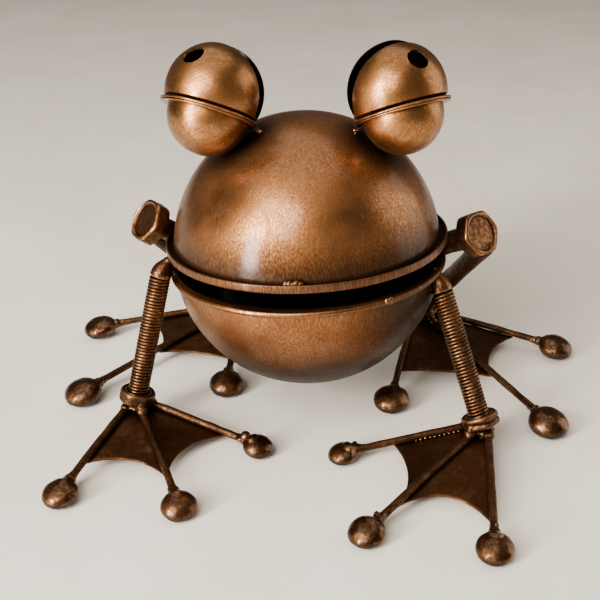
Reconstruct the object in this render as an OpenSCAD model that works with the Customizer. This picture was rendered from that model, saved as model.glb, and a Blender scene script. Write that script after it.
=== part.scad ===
// Metal frog ornament: a ball of two shells for head and jaw, jingle-bell eyes,
// close-wound springs for front legs, bolts and bars for hind legs, and webbed rod feet.
// The frog looks along -Y and stands on Z = 0. Left and right are the frog's own.

/* [Ball] */
// Outer radius of the two dished shells
ball_r = 65; // [60:1:70]
// Thickness of the shell metal
sheet = 1.2; // [0.8:0.1:2]
// Height of the ball's centre above the floor
ball_z = 84; // [80:1:90]
// Turn of the head and eyes on the legs
head_turn = 5; // [-8:1:8]
// Lift of the mouth line at the front
head_tilt = 4; // [0:1:8]
// Lift of the mouth line on the left side
head_roll = 3; // [0:1:6]

/* [Rims] */
// Outer radius of the head's upturned lip
head_lip_r = 67.8; // [67:0.1:70]
// Height of the head's lip
head_lip_h = 4; // [3:0.5:6]
// Half of the mouth gap
mouth_half = 4.4; // [3:0.1:5]
// How far the jaw's rolled rim stands out
jaw_bead = 2.2; // [1.5:0.1:3]

/* [Eyes] */
// Outer radius of a bell's upper dome
bell_r = 22; // [20.5:0.1:23]
// Outer radius of a bell's lower dome
bell_low_r = 18.2; // [17:0.1:18.6]
// Outer radius of a bell's seam flange
bell_rim_r = 22.2; // [21:0.1:22.6]
// Thickness of the bell metal
bell_t = 1; // [0.8:0.1:1.4]
// Distance of each bell from the middle of the head
eye_x = 42.5; // [42:0.5:50]
// Backward lean of the bells
eye_lean = 23.5; // [15:0.5:30]
// Inward lean of the bells
eye_tip = 16.5; // [10:0.5:25]
// Diameter of the sound hole
bell_hole_d = 9.8; // [8:0.2:11]
// Width of the sound slot
bell_slot = 9.4; // [5:0.2:9.6]
// Diameter of the loose ball in a bell
clapper_d = 10; // [8:0.5:11]

/* [Legs] */
// Outside diameter of the leg springs
spring_d = 10.2; // [9.8:0.1:10.4]
// Diameter of the spring wire
wire_d = 1.6; // [1.2:0.1:2]
// Width of an ankle nut across its flats
nut_af = 17.4; // [16:0.2:19]
// Height of an ankle nut
nut_h = 6; // [5:0.5:8]
// Width of a knee bolt's head across its flats
bolt_af = 20.5; // [19:0.5:22]
// Thickness of a knee bolt's head
bolt_head = 8; // [7:0.5:10]
// Diameter of a knee bolt's shank
bolt_d = 11; // [10:0.5:12]
// Diameter of a shin bar
shin_d = 9.6; // [8:0.2:11]

/* [Feet] */
// Diameter of a toe rod
rod_d = 3.6; // [3:0.1:4.5]
// Thickness of the web sheet
web_t = 1; // [0.8:0.1:1.4]
// Height of the toe rods at the ankle
root_z = 12; // [10.5:0.5:13]
// Height of a pad as a share of its width
pad_flat = 0.6; // [0.5:0.05:0.7]
// Forward droop of a pad
pad_droop = 10; // [0:1:15]

/* [Hidden] */

// Where the ball stands over the origin, which is the middle of the footprint
ball_x = -6.2;
ball_y = 22.9;
ball_at = [ball_x, ball_y, ball_z];

// Feet: side (1 is the frog's left), ankle nut centre from the ball's foot point,
// toe angles away from straight ahead, toe reaches, pad radii, web ends along the
// toes, web hollows as a share of their chord, and how far ahead of the nut's middle
// each toe rod starts; toes go outer, middle, inner
FRONT_LEFT = [
    1, [86.4, -42.5, 17], [1, -37, -77], [74, 86, 66],
    [8.2, 8.2, 7.2], [0.8, 0.76, 0.62], [0.28, 0.13], [0, -3, 0]
];
FRONT_RIGHT = [
    -1, [-80.7, -36.5, 17], [19, -27, -73], [65, 73, 65],
    [8.2, 8.2, 7.5], [0.66, 0.74, 0.72], [0.18, 0.2], [0, -3, 0]
];
REAR_LEFT = [
    1, [62, 70, 18], [74, 32, -12], [77, 113, 83],
    [9.5, 10, 9.2], [0.67, 0.57, 0.66], [0.14, 0.04], [4, 6, 4]
];
REAR_RIGHT = [
    -1, [-48, 66, 18], [77, 38, -5], [78, 108, 70],
    [9.4, 9.7, 9], [0.62, 0.5, 0.66], [0.13, 0.08], [4, 6, 4]
];
OUTER = 0;
MIDDLE = 1;
INNER = 2;

// Tops of the leg springs and faces of the knee bolts, from the ball's foot point
SPRING_TOP_LEFT = [65, -23, 75];
SPRING_TOP_RIGHT = [-67.4, -25.1, 78];
KNEE_LEFT = [83.5, -3.7, 96.6];
KNEE_RIGHT = [-80.1, 1, 95.2];
// Ways out of the knee bolts' faces
KNEE_OUT_LEFT = [0.6, -0.61, 0.52];
KNEE_OUT_RIGHT = [-0.63, -0.51, 0.58];
// Tops of the shins, from the middle of the bolt heads
SHIN_TOP_LEFT = [4.6, 0, -6.2];
SHIN_TOP_RIGHT = [-0.9, 0, -3];

dome_lift = 1.5;
dome_r = ball_r - 0.7;
// Bells, from the ball's centre: seam centre, backward lean and inward lean
EYE_LEFT = [[eye_x - 1, -14.4, 72.2], eye_lean - 1.5, eye_tip - 0.5];
EYE_RIGHT = [[eye_x + 0.9, -13.4, 71.2], eye_lean + 1.5, eye_tip + 1];
bell_up = 8.8;
bell_down = 0.8;
flange_t = 1;
// Slot planes of the bells: tilt from the bell's axis, turn round it, distance off its centre
SLOT_LEFT = [62, 68.6, -1.5];
SLOT_RIGHT = [72.7, 66, -1.5];
// Sound holes: tilt from the bell's axis, turn round it
HOLE_LEFT = [64.5, 125.5];
HOLE_RIGHT = [59.2, 133.4];
clapper_gap = 0.3;
clapper_arm = bell_low_r - bell_t - clapper_d / 2 - clapper_gap;
neck_d = spring_d - 0.6;
plug_d = spring_d - 2 * wire_d - 0.2;
root_aside = 4;
weld_r = 4.4;
weld_z = 14.6;
nut_floor = 0.3;
pad_sink = 0.45;
pad_grip = 0.6;
far = 400;

function unit(v) = v / norm(v);
function side_of(foot) = foot[0];
function ankle(foot) = foot[1];
function toe_way(foot, toe) = [side_of(foot) * sin(foot[2][toe]), -cos(foot[2][toe]), 0];
function pad_r(foot, toe) = foot[4][toe];
function pad_z(foot, toe) = pad_r(foot, toe) * pad_flat - pad_sink;
function floor_of(p) = [p.x, p.y, 0];
function pad_at(foot, toe) =
    floor_of(ankle(foot)) + toe_way(foot, toe) * foot[3][toe] + [0, 0, pad_z(foot, toe)];
// A toe rod starts under the nut, a little ahead of its middle and to its own side
function toe_side(foot, toe) =
    (1 - toe) * root_aside * side_of(foot) * [-toe_way(foot, toe).y, toe_way(foot, toe).x, 0];
function toe_root(foot, toe) =
    floor_of(ankle(foot)) + toe_way(foot, toe) * foot[7][toe] + toe_side(foot, toe) + [0, 0, root_z];
function toe_tip(foot, toe) = pad_at(foot, toe) + [0, 0, pad_grip];
function arc(centre, r, from, to, steps) =
    [for (i = [0:steps]) let (a = from + (to - from) * i / steps) centre + r * [cos(a), sin(a)]];

// Moves to the ball's foot point, the reference of every position above
module at_frog() {
    translate([ball_x, ball_y, 0]) children();
}

// A round bar from one point to another
module bar(a, b, d) {
    v = b - a;
    translate(a)
        rotate([0, acos(v.z / norm(v)), atan2(v.y, v.x)])
            cylinder(h = norm(v), d = d, $fn = 48);
}

// Stands its children, drawn along +Z, on a point and along a direction
module along(a, v) {
    translate(a)
        rotate([0, acos(v.z / norm(v)), atan2(v.y, v.x)]) children();
}

// ---------- ball ----------
module head_frame() {
    translate(ball_at)
        rotate([0, 0, head_turn])
            rotate([-head_tilt, -head_roll, 0]) children();
}

head_foot_angle = asin((mouth_half + sheet - dome_lift) / dome_r);
head_inner_angle = asin((mouth_half - dome_lift) / (dome_r - sheet));
function head_outline() = concat(
    arc([0, dome_lift], dome_r, 90, head_foot_angle, 32),
    [[head_lip_r - sheet, mouth_half + sheet]],
    arc([head_lip_r - sheet / 2, mouth_half + head_lip_h - sheet / 2], sheet / 2, 180, 0, 8),
    arc([head_lip_r - sheet, mouth_half + sheet], sheet, 0, -90, 5),
    arc([0, dome_lift], dome_r - sheet, head_inner_angle, 90, 32)
);
module head_shell() {
    color("#8a5a34")
        head_frame() rotate_extrude($fn = 180) polygon(head_outline());
}

bead_h = 3;
bead_r = bead_h / 2;
groove_out = 1.6;
groove_in = 2.4;
groove_deep = 1.2;
jaw_foot_angle = asin((mouth_half + bead_h - dome_lift) / ball_r);
jaw_inner_angle = 9;
function jaw_outline() = concat(
    arc([0, dome_lift], ball_r, 90, jaw_foot_angle, 32),
    arc([ball_r + jaw_bead - bead_r, mouth_half + bead_r], bead_r, 90, -90, 8),
    [[ball_r - groove_out + 0.2, mouth_half]],
    [[ball_r - groove_out, mouth_half + groove_deep]],
    [[ball_r - groove_in, mouth_half + groove_deep]],
    [[ball_r - groove_in - 0.2, mouth_half]],
    [[ball_r - groove_in - sheet, mouth_half]],
    arc([0, dome_lift], ball_r - sheet, jaw_inner_angle, 90, 32)
);
module jaw_shell() {
    color("#8f5f3a")
        head_frame() mirror([0, 0, 1]) rotate_extrude($fn = 180) polygon(jaw_outline());
}

// Filled shapes of the two shells, for coping what is welded to them
weld_under = 8;
weld_out = 0.6;
module shells_filled() {
    head_frame() {
        translate([0, 0, -mouth_half]) cylinder(h = 2 * mouth_half, r = ball_r + jaw_bead, $fn = 180);
        translate([0, 0, -mouth_half - weld_under]) cylinder(h = weld_under, r = ball_r + weld_out, $fn = 180);
        translate([0, 0, dome_lift]) sphere(r = dome_r, $fn = 96);
        translate([0, 0, mouth_half]) cylinder(h = head_lip_h, r = head_lip_r, $fn = 180);
        translate([0, 0, -dome_lift]) sphere(r = ball_r, $fn = 96);
        translate([0, 0, -mouth_half - bead_h]) cylinder(h = bead_h, r = ball_r + jaw_bead, $fn = 180);
    }
}

// ---------- eyes ----------
function eye_set(side) = side > 0 ? EYE_LEFT : EYE_RIGHT;
function eye_at(side) = [side * eye_set(side)[0].x, eye_set(side)[0].y, eye_set(side)[0].z];
module eye_frame(side) {
    translate(ball_at)
        rotate([0, 0, head_turn])
            translate(eye_at(side))
                rotate([-eye_set(side)[1], -side * eye_set(side)[2], 0]) children();
}

seam_r = bell_low_r + 0.5;
slot_floor = 3;
slot_back = 3;
low_flange = 0.8;
function bell_upper_outline() = concat(
    arc([0, bell_up], bell_r, 90, -asin((bell_up - flange_t) / bell_r) + 4, 32),
    [[seam_r, flange_t]],
    arc([bell_rim_r - flange_t / 2, flange_t / 2], flange_t / 2, 90, -90, 8),
    [[seam_r - bell_t, 0]],
    arc([0, bell_up], bell_r - bell_t, -asin(bell_up / bell_r) + 4, 90, 32)
);
function bell_lower_outline() = concat(
    arc([0, -bell_down], bell_low_r, -90, 0, 24),
    [[bell_low_r, -low_flange]],
    arc([bell_rim_r - low_flange, -low_flange / 2], low_flange / 2, -90, 90, 6),
    [[bell_low_r - bell_t, 0]],
    arc([0, -bell_down], bell_low_r - bell_t, 0, -90, 24)
);

// Cuts the slot, whose plane leans off the bell's axis, from above the seam to just past the crown
module bell_slot_cut(side, slot) {
    difference() {
        translate([0, 0, bell_up])
            rotate([0, 0, side > 0 ? 180 - slot[1] : slot[1]])
                rotate([0, slot[0], 0])
                    translate([-far / 2, -far / 2, slot[2]])
                        cube([far, far, bell_slot]);
        translate([0, 0, slot_floor - far]) cube([far, far, 2 * far], center = true);
        translate([0, slot_back + far / 2, 0]) cube(far, center = true);
    }
}

module eye_upper(side, slot, hole) {
    color("#9b6a3f")
        eye_frame(side) difference() {
            rotate_extrude($fn = 120) polygon(bell_upper_outline());
            bell_slot_cut(side, slot);
            translate([0, 0, bell_up])
                rotate([0, 0, side > 0 ? hole[1] - 180 : -hole[1]])
                    rotate([0, hole[0], 0]) cylinder(h = 2 * bell_r, d = bell_hole_d, $fn = 48);
        }
}

module eye_lower(side) {
    color("#92603a")
        eye_frame(side) rotate_extrude($fn = 120) polygon(bell_lower_outline());
}

function turned(v, a) = [v.x * cos(a) - v.y * sin(a), v.x * sin(a) + v.y * cos(a), v.z];
function tipped_x(v, a) = [v.x, v.y * cos(a) - v.z * sin(a), v.y * sin(a) + v.z * cos(a)];
function tipped_y(v, a) = [v.x * cos(a) + v.z * sin(a), v.y, v.z * cos(a) - v.x * sin(a)];
// A point of a bell, given on the bell's own axes
function bell_point(side, p) = ball_at + turned(
    eye_at(side) + tipped_y(tipped_x(p, -eye_set(side)[1]), -side * eye_set(side)[2]), head_turn);

// The loose ball lies at the lowest point inside the lower dome
module eye_clapper(side) {
    color("#6b5a48")
        translate(bell_point(side, [0, 0, -bell_down]) - [0, 0, clapper_arm])
            sphere(d = clapper_d, $fn = 48);
}

// Folded tab that ties the seam flange to the head
tab_w = 4.4;
tab_t = 2.4;
tab_l = 7;
module eye_tab(side) {
    foot_way = unit([side * 0.343, -0.15, 0.925]);
    color("#7d5130")
        difference() {
            translate(ball_at)
                rotate([0, 0, head_turn])
                    along([0, 0, dome_lift], foot_way)
                        translate([-tab_t / 2, -tab_w / 2, dome_r - 2]) cube([tab_t, tab_w, tab_l]);
            shells_filled();
            eye_frame(side) {
                translate([0, 0, -low_flange]) cylinder(h = low_flange + flange_t, r = bell_rim_r, $fn = 120);
                translate([0, 0, bell_up]) sphere(r = bell_r, $fn = 96);
                translate([0, 0, -bell_down]) sphere(r = bell_low_r, $fn = 96);
                translate([0, 0, flange_t]) cylinder(h = tab_l + 2, r = bell_rim_r + tab_w, $fn = 120);
            }
        }
}

// ---------- front legs ----------
function spring_top(side) = side > 0 ? SPRING_TOP_LEFT : SPRING_TOP_RIGHT;
function front_foot(side) = side > 0 ? FRONT_LEFT : FRONT_RIGHT;
function rear_foot(side) = side > 0 ? REAR_LEFT : REAR_RIGHT;
function leg_way(side) = unit(ankle(front_foot(side)) - spring_top(side));
// The spring ends inside the nut's bore, near its lower face
seat_gap = 0.6;
function spring_length(side) =
    norm(ankle(front_foot(side)) - spring_top(side)) + nut_h / 2 - seat_gap;

module leg_spring(side) {
    color("#6f4a2c")
        at_frog() along(spring_top(side), leg_way(side)) difference() {
            cylinder(h = spring_length(side), d = spring_d, $fn = 64);
            translate([0, 0, -1]) cylinder(h = far, d = spring_d - 2 * wire_d, $fn = 64);
        }
}

// Rod end that carries the spring: a plug inside it and a neck up to both rims
neck = 9;
plug = 7;
module leg_shoulder(side) {
    top = spring_top(side);
    way = leg_way(side);
    color("#7d5130")
        difference() {
            at_frog() {
                bar(top - way * neck, top, neck_d);
                bar(top - way * neck / 2, top + way * plug, plug_d);
            }
            shells_filled();
        }
}

// ---------- hind legs ----------
function knee_face(side) = side > 0 ? KNEE_LEFT : KNEE_RIGHT;
function knee_out(side) = unit(side > 0 ? KNEE_OUT_LEFT : KNEE_OUT_RIGHT);
dish_d = bolt_af - 3;
dish_depth = 1.2;
shank_l = 24;
corner_cut = 1.3;

// A hexagon head with turned-off corners and a dished face, on its shank
module knee_bolt_body(side) {
    at_frog() along(knee_face(side), -knee_out(side)) {
        difference() {
            intersection() {
                cylinder(h = bolt_head, d = bolt_af / cos(30), $fn = 6);
                cylinder(h = bolt_head, d = bolt_af / cos(30) - corner_cut, $fn = 96);
            }
            translate([0, 0, -1]) cylinder(h = dish_depth + 1, d = dish_d, $fn = 96);
        }
        translate([0, 0, bolt_head - 0.1]) cylinder(h = shank_l, d = bolt_d, $fn = 64);
    }
}
module knee_bolt(side) {
    color("#6a4226")
        difference() {
            knee_bolt_body(side);
            shells_filled();
        }
}

function knee_middle(side) = knee_face(side) - knee_out(side) * bolt_head * 0.6;
function shin_top(side) = knee_middle(side) + (side > 0 ? SHIN_TOP_LEFT : SHIN_TOP_RIGHT);
function shin_way(side) = unit(ankle(rear_foot(side)) - shin_top(side));
module shin(side) {
    color("#5f3b22")
        difference() {
            at_frog()
                bar(shin_top(side), ankle(rear_foot(side)) + shin_way(side) * (nut_h / 2 - seat_gap), shin_d);
            knee_bolt_body(side);
        }
}

// ---------- feet ----------
// Space taken by an ankle nut
module nut_blank(foot, way) {
    at_frog() along(ankle(foot) - way * nut_h / 2, way) cylinder(h = nut_h, d = nut_af / cos(30), $fn = 6);
}

// Bored hexagon nut with turned-off corners, on the weld that holds it to the toe rods
module ankle_nut(foot, way, bore) {
    color("#6d4529")
        difference() {
            at_frog() {
                along(ankle(foot) - way * nut_h / 2, way) intersection() {
                    cylinder(h = nut_h, d = nut_af / cos(30), $fn = 6);
                    cylinder(h = nut_h, d = nut_af / cos(30) - corner_cut, $fn = 96);
                }
                translate(floor_of(ankle(foot)) + [0, 0, weld_z]) sphere(r = weld_r, $fn = 48);
            }
            at_frog()
                along(ankle(foot) - way * (nut_h / 2 - nut_floor), way) cylinder(h = far, d = bore, $fn = 64);
            for (toe = [OUTER:INNER])
                toe_bar(foot, toe);
        }
}

module toe_bar(foot, toe) {
    at_frog() bar(toe_root(foot, toe), toe_tip(foot, toe), rod_d);
}

// Toe rod, coped to the nut, to the middle rod beside it and to its pad
module toe_rod(foot, toe, way) {
    color("#5d3a20")
        difference() {
            toe_bar(foot, toe);
            nut_blank(foot, way);
            toe_pad_body(foot, toe);
            if (toe != MIDDLE)
                toe_bar(foot, MIDDLE);
        }
}

// Pebble-shaped pad, drooping forwards, with its underside ground flat on the floor
module toe_pad_body(foot, toe) {
    r = pad_r(foot, toe);
    w = toe_way(foot, toe);
    outline = [for (i = [0:20]) [r * sin(9 * i), -r * pad_flat * cos(9 * i)]];
    at_frog() intersection() {
        translate(pad_at(foot, toe))
            rotate([0, 0, atan2(w.y, w.x)])
                rotate([0, pad_droop, 0]) rotate_extrude($fn = 72) polygon(outline);
        translate(floor_of(pad_at(foot, toe)) - [far / 2, far / 2, 0]) cube(far);
    }
}
module toe_pad(foot, toe) {
    color("#6b4327") toe_pad_body(foot, toe);
}

// One sheet of web between two neighbouring toes, lying against their undersides
module web_half(foot, a, b, hollow) {
    root = floor_of(ankle(foot)) + [0, 0, root_z - rod_d / 2];
    va = floor_of(pad_at(foot, a)) + [0, 0, pad_at(foot, a).z + pad_grip - rod_d / 2] - root;
    vb = floor_of(pad_at(foot, b)) + [0, 0, pad_at(foot, b).z + pad_grip - rod_d / 2] - root;
    ux = unit(va);
    flip = cross(va, vb).z > 0 ? 1 : -1;
    uz = flip * unit(cross(va, vb));
    uy = cross(uz, ux);
    pa = [norm(va) * foot[5][a], 0];
    pb = [vb * ux, vb * uy] * foot[5][b];
    chord = pb - pa;
    c = norm(chord);
    sag = hollow * c;
    scoop_r = (c * c / 4 + sag * sag) / (2 * sag);
    outward = unit([chord.y, -chord.x]) * (flip > 0 ? 1 : -1);
    scoop = (pa + pb) / 2 + outward * (scoop_r - sag);
    multmatrix([
        [ux.x, uy.x, uz.x, root.x],
        [ux.y, uy.y, uz.y, root.y],
        [ux.z, uy.z, uz.z, root.z],
        [0, 0, 0, 1]
    ]) difference() {
        translate([0, 0, -web_t]) linear_extrude(web_t) polygon([[0, 0], pa, pb]);
        translate([scoop.x, scoop.y, -far / 2]) cylinder(h = far, r = scoop_r, $fn = 120);
    }
}
module web(foot) {
    color("#5a391f")
        at_frog() {
            web_half(foot, OUTER, MIDDLE, foot[6][0]);
            web_half(foot, MIDDLE, INNER, foot[6][1]);
        }
}

bore_play = 0.6;
module front_nut(side) {
    ankle_nut(front_foot(side), -leg_way(side), spring_d + bore_play);
}
module rear_nut(side) {
    ankle_nut(rear_foot(side), -shin_way(side), shin_d);
}

head_shell();
jaw_shell();
eye_upper(1, SLOT_LEFT, HOLE_LEFT);  // left_eye_upper
eye_lower(1);  // left_eye_lower
eye_clapper(1);  // left_eye_clapper
eye_tab(1);  // left_eye_tab
eye_upper(-1, SLOT_RIGHT, HOLE_RIGHT);  // right_eye_upper
eye_lower(-1);  // right_eye_lower
eye_clapper(-1);  // right_eye_clapper
eye_tab(-1);  // right_eye_tab
leg_spring(1);  // front_left_spring
leg_shoulder(1);  // front_left_shoulder
leg_spring(-1);  // front_right_spring
leg_shoulder(-1);  // front_right_shoulder
knee_bolt(1);  // left_knee_bolt
shin(1);  // left_shin
knee_bolt(-1);  // right_knee_bolt
shin(-1);  // right_shin
front_nut(1);  // front_left_nut
web(FRONT_LEFT);  // front_left_web
toe_rod(FRONT_LEFT, OUTER, -leg_way(1));  // front_left_outer_toe
toe_rod(FRONT_LEFT, MIDDLE, -leg_way(1));  // front_left_middle_toe
toe_rod(FRONT_LEFT, INNER, -leg_way(1));  // front_left_inner_toe
toe_pad(FRONT_LEFT, OUTER);  // front_left_outer_pad
toe_pad(FRONT_LEFT, MIDDLE);  // front_left_middle_pad
toe_pad(FRONT_LEFT, INNER);  // front_left_inner_pad
front_nut(-1);  // front_right_nut
web(FRONT_RIGHT);  // front_right_web
toe_rod(FRONT_RIGHT, OUTER, -leg_way(-1));  // front_right_outer_toe
toe_rod(FRONT_RIGHT, MIDDLE, -leg_way(-1));  // front_right_middle_toe
toe_rod(FRONT_RIGHT, INNER, -leg_way(-1));  // front_right_inner_toe
toe_pad(FRONT_RIGHT, OUTER);  // front_right_outer_pad
toe_pad(FRONT_RIGHT, MIDDLE);  // front_right_middle_pad
toe_pad(FRONT_RIGHT, INNER);  // front_right_inner_pad
rear_nut(1);  // rear_left_nut
web(REAR_LEFT);  // rear_left_web
toe_rod(REAR_LEFT, OUTER, -shin_way(1));  // rear_left_outer_toe
toe_rod(REAR_LEFT, MIDDLE, -shin_way(1));  // rear_left_middle_toe
toe_rod(REAR_LEFT, INNER, -shin_way(1));  // rear_left_inner_toe
toe_pad(REAR_LEFT, OUTER);  // rear_left_outer_pad
toe_pad(REAR_LEFT, MIDDLE);  // rear_left_middle_pad
toe_pad(REAR_LEFT, INNER);  // rear_left_inner_pad
rear_nut(-1);  // rear_right_nut
web(REAR_RIGHT);  // rear_right_web
toe_rod(REAR_RIGHT, OUTER, -shin_way(-1));  // rear_right_outer_toe
toe_rod(REAR_RIGHT, MIDDLE, -shin_way(-1));  // rear_right_middle_toe
toe_rod(REAR_RIGHT, INNER, -shin_way(-1));  // rear_right_inner_toe
toe_pad(REAR_RIGHT, OUTER);  // rear_right_outer_pad
toe_pad(REAR_RIGHT, MIDDLE);  // rear_right_middle_pad
toe_pad(REAR_RIGHT, INNER);  // rear_right_inner_pad
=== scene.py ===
"""Metal frog ornament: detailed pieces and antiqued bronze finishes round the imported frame.

Sizes are in millimetres in the frame's own axes: the frog looks along -Y, its left is +X,
and the floor is Z = 0. They repeat the part's own values.
"""
import math
from itertools import product

import bmesh
import bpy
import numpy as np
from mathutils import Matrix, Vector


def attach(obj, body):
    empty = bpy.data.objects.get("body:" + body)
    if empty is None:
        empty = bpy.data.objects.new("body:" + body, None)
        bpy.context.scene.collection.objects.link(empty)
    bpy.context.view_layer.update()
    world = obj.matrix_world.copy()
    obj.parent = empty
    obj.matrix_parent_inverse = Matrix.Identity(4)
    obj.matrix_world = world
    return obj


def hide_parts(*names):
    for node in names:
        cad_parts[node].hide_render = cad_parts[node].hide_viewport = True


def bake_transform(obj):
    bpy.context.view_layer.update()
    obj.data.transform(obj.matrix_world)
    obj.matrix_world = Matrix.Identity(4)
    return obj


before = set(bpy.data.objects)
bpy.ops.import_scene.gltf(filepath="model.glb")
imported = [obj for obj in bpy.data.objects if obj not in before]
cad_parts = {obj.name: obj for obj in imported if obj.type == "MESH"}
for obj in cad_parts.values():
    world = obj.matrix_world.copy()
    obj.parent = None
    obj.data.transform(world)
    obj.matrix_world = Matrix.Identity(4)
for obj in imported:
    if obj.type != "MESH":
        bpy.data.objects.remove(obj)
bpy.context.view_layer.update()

MM = 0.001
# the two steps of a round of smoothing, in and out again, so little volume is lost
SOFTEN = (0.5, -0.52)
# shortest edge, in mm, that counts when wear is measured
FINEST = 0.15
# any large numbers do here: they scatter the values of the noise
SCATTER, SCATTER_BY = np.array([127.1, 311.7, 74.7]), 43758.5453

# points round each kind of turned piece
SHELL_STEPS, BELL_STEPS, HEX_STEPS, COIL_STEPS = 288, 200, 240, 26
# how far hand work is off, and over what length, in mm
SHELL_WOBBLE, BELL_WOBBLE = (0.16, 26.0), (0.08, 14.0)

# ---------------------------------------------------------------- sizes of the part
BALL_R = 65.0
SHEET = 1.2
BALL_AT = np.array([-6.2, 22.9, 84.0])
HEAD_TURN, HEAD_TILT, HEAD_ROLL = 5.0, 4.0, 3.0
LIP_R, LIP_H = 67.8, 4.0
MOUTH_HALF = 4.4
JAW_BEAD = 2.2
DOME_LIFT = 1.5
DOME_R = BALL_R - 0.7

BELL_R, BELL_LOW_R, BELL_RIM_R, BELL_T = 22.0, 18.2, 22.2, 1.0
BELL_UP, BELL_DOWN, FLANGE_T = 8.8, 0.8, 1.0
BELL_SLOT, SLOT_FLOOR, SLOT_BACK, HOLE_D = 9.4, 3.0, 3.0, 9.8
# seam centre from the ball's, backward and inward lean, slot (tilt, turn, offset) and
# hole (tilt, turn)
BELLS = {
    "left": dict(side=1, at=(41.5, -14.4, 72.2), lean=22.0, tip=16.0,
                 slot=(62.0, 68.6, -1.5), hole=(64.5, 125.5)),
    "right": dict(side=-1, at=(-43.4, -13.4, 71.2), lean=25.0, tip=17.5,
                  slot=(72.7, 66.0, -1.5), hole=(59.2, 133.4)),
}

SPRING_D, WIRE_D, WIRE_SLACK, COIL_GAP = 10.2, 1.6, 0.02, 0.03
NUT_AF, NUT_H = 17.4, 6.0
BOLT_AF, BOLT_HEAD, BOLT_D, SHANK_L = 20.5, 8.0, 11.0, 24.0
SEAT_GAP = 0.6
DISH_RIM, DISH_DEPTH = 3.0, 1.2
BORE_PLAY = 0.6
SHIN_D = 9.6
ROD_D, ROD_POINTS = 3.6, 40
WEB_T = 1.0
ROOT_Z = 12.0
ROOT_ASIDE = 4.0
PAD_FLAT, PAD_DROOP, PAD_SINK, PAD_GRIP = 0.6, 10.0, 0.45, 0.6
WELD_Z = 14.6
# a nut's weld: radii of the mound, of its two knobs, and how far out its beads lie
MOUND, KNOB_HIGH, KNOB_LOW = (6.2, 6.2, 2.6), (2.7, 2.7, 2.6), (2.7, 2.7, 2.5)
BEAD_OUT = 5.2
CORNER_CUT, HEX_SOFT = 0.65, 0.35
# radius and depth of each ring of the groove that sets a nut's washer apart
WASHER_GROOVE = ((7.6, 0.0), (7.35, 0.6), (7.0, 0.6), (6.75, 0.0))
# how far the corners of a nut are worn off, and the depth of the groove round its waist
NUT_WEAR = {"front_left": (0.55, 0.7), "front_right": (0.7, 0.0)}

# way up from the ball's middle, free length, half width and half thickness of an eye's tab
TAB_WAY = (0.343, -0.15, 0.925)
TAB_REACH = {"left": 3.0, "right": 2.4}
TAB_HALF, TAB_WIRE = 1.7, 0.62
# how far a shoulder's weld climbs above its spring, and how far it leans in there
SLEEVE = {"left": 9.0, "right": 6.5}
SLEEVE_LEAN = 2.4
# its radius at the top, and what it gains down to the spring
SLEEVE_R = (2.7, 2.4)
SPATTER = 7

# the floor under the ball, which legs and feet are measured from
FOOT_POINT = np.array([BALL_AT[0], BALL_AT[1], 0.0])
SPRING_TOP = {"left": (65.0, -23.0, 75.0), "right": (-67.4, -25.1, 78.0)}
KNEE = {"left": (83.5, -3.7, 96.6), "right": (-80.1, 1.0, 95.2)}
KNEE_OUT = {"left": (0.6, -0.61, 0.52), "right": (-0.63, -0.51, 0.58)}
SHIN_TOP = {"left": (4.6, 0.0, -6.2), "right": (-0.9, 0.0, -3.0)}
UP = np.array([0.0, 0.0, 1.0])

# side, ankle centre, toe angles, toe reaches, pad radii, web ends, web hollows, roots ahead
TOES = ("outer", "middle", "inner")
FEET = {
    "front_left": dict(side=1, ankle=(86.4, -42.5, 17), angle=(1, -37, -77), reach=(74, 86, 66),
                       pad=(8.2, 8.2, 7.2), web=(0.8, 0.76, 0.62), hollow=(0.28, 0.13),
                       ahead=(0, -3, 0), body="front_left_foot"),
    "front_right": dict(side=-1, ankle=(-80.7, -36.5, 17), angle=(19, -27, -73), reach=(65, 73, 65),
                        pad=(8.2, 8.2, 7.5), web=(0.66, 0.74, 0.72), hollow=(0.18, 0.2),
                        ahead=(0, -3, 0), body="front_right_foot"),
    "rear_left": dict(side=1, ankle=(62, 70, 18), angle=(74, 32, -12), reach=(77, 113, 83),
                      pad=(9.5, 10, 9.2), web=(0.67, 0.57, 0.66), hollow=(0.14, 0.04),
                      ahead=(4, 6, 4), body="frog"),
    "rear_right": dict(side=-1, ankle=(-48, 66, 18), angle=(77, 38, -5), reach=(78, 108, 70),
                       pad=(9.4, 9.7, 9), web=(0.62, 0.5, 0.66), hollow=(0.13, 0.08),
                       ahead=(4, 6, 4), body="frog"),
}


# ---------------------------------------------------------------- placing and noise
def unit(v):
    v = np.asarray(v, float)
    return v / np.linalg.norm(v)


def turn(axis, degrees):
    return np.array(Matrix.Rotation(math.radians(degrees), 4, axis))


def shift(p):
    m = np.eye(4)
    m[:3, 3] = p
    return m


def along(point, way):
    """Stands +Z on a point, along a direction."""
    x, y, z = unit(way)
    heading, tilt = math.degrees(math.atan2(y, x)), math.degrees(math.acos(z))
    return shift(point) @ turn("Z", heading) @ turn("Y", tilt)


def placed(points, m):
    return np.asarray(points, float) @ m[:3, :3].T + m[:3, 3]


def placed_point(point, m):
    return placed([point], m)[0]


def smooth(values, start, end):
    """0 at the start, 1 at the end, eased between."""
    u = np.clip((values - start) / (end - start), 0, 1)
    return u * u * (3 - 2 * u)


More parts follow.
